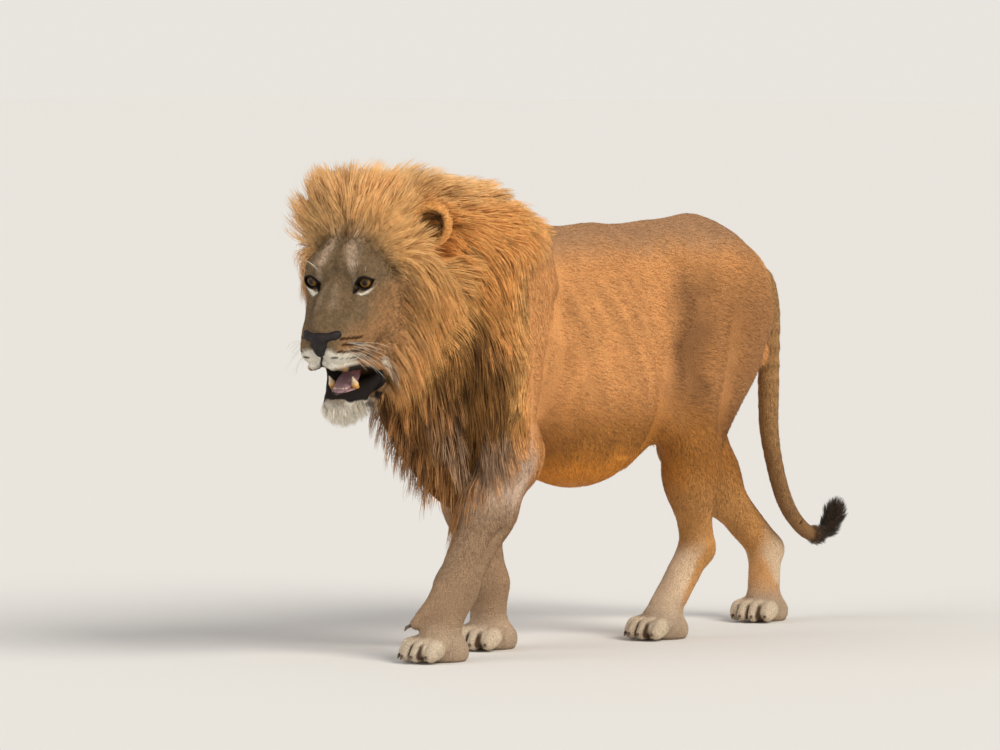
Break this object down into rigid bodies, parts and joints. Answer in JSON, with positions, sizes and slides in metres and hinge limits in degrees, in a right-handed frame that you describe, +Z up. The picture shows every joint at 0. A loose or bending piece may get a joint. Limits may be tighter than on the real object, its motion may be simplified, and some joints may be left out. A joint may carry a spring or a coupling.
{
  "type": "walking lion model",
  "caption": "Life-size still model of an adult male lion walking with its mouth open, with a full mane, an upswept tail end and a dark tail tuft.",
  "frame": {"origin": "middle of the bounding box's base, on the plane of the four soles", "axes": "+Z up; the lion walks towards -Y; +X is the lion's left side"},
  "size_m": [0.4754, 2.0438, 1.213],
  "materials": {
    "coat": "short golden tan fur, paler and greyer on the face",
    "mane": "long golden hair, blond about the face and dark brown on throat and chest",
    "nose": "dark moist nose skin",
    "eye": "glossy amber eye with a round dark pupil",
    "tongue": "moist pink",
    "tooth": "yellowed ivory",
    "tuft": "near-black long hair"
  },
  "bodies": {
    "root": {"head": "coat", "jaw": "coat", "nose": "nose", "eye_left": "eye", "eye_right": "eye", "ear_left": "coat", "ear_right": "coat", "tongue": "tongue", "canine_left": "tooth", "canine_right": "tooth", "mane_crown": "mane", "mane_neck": "mane", "mane_chest": "mane", "chest": "coat", "belly": "coat", "rump": "coat", "scrotum": "coat", "foreleg_left": "coat", "fore_paw_left": "coat", "foreleg_right": "coat", "fore_paw_right": "coat", "hindleg_left": "coat", "hind_paw_left": "coat", "hindleg_right": "coat", "hind_paw_right": "coat", "tail_root": "coat", "tail_middle": "coat", "tail_end": "coat", "tail_tuft": "tuft"}
  },
  "joints": []
}
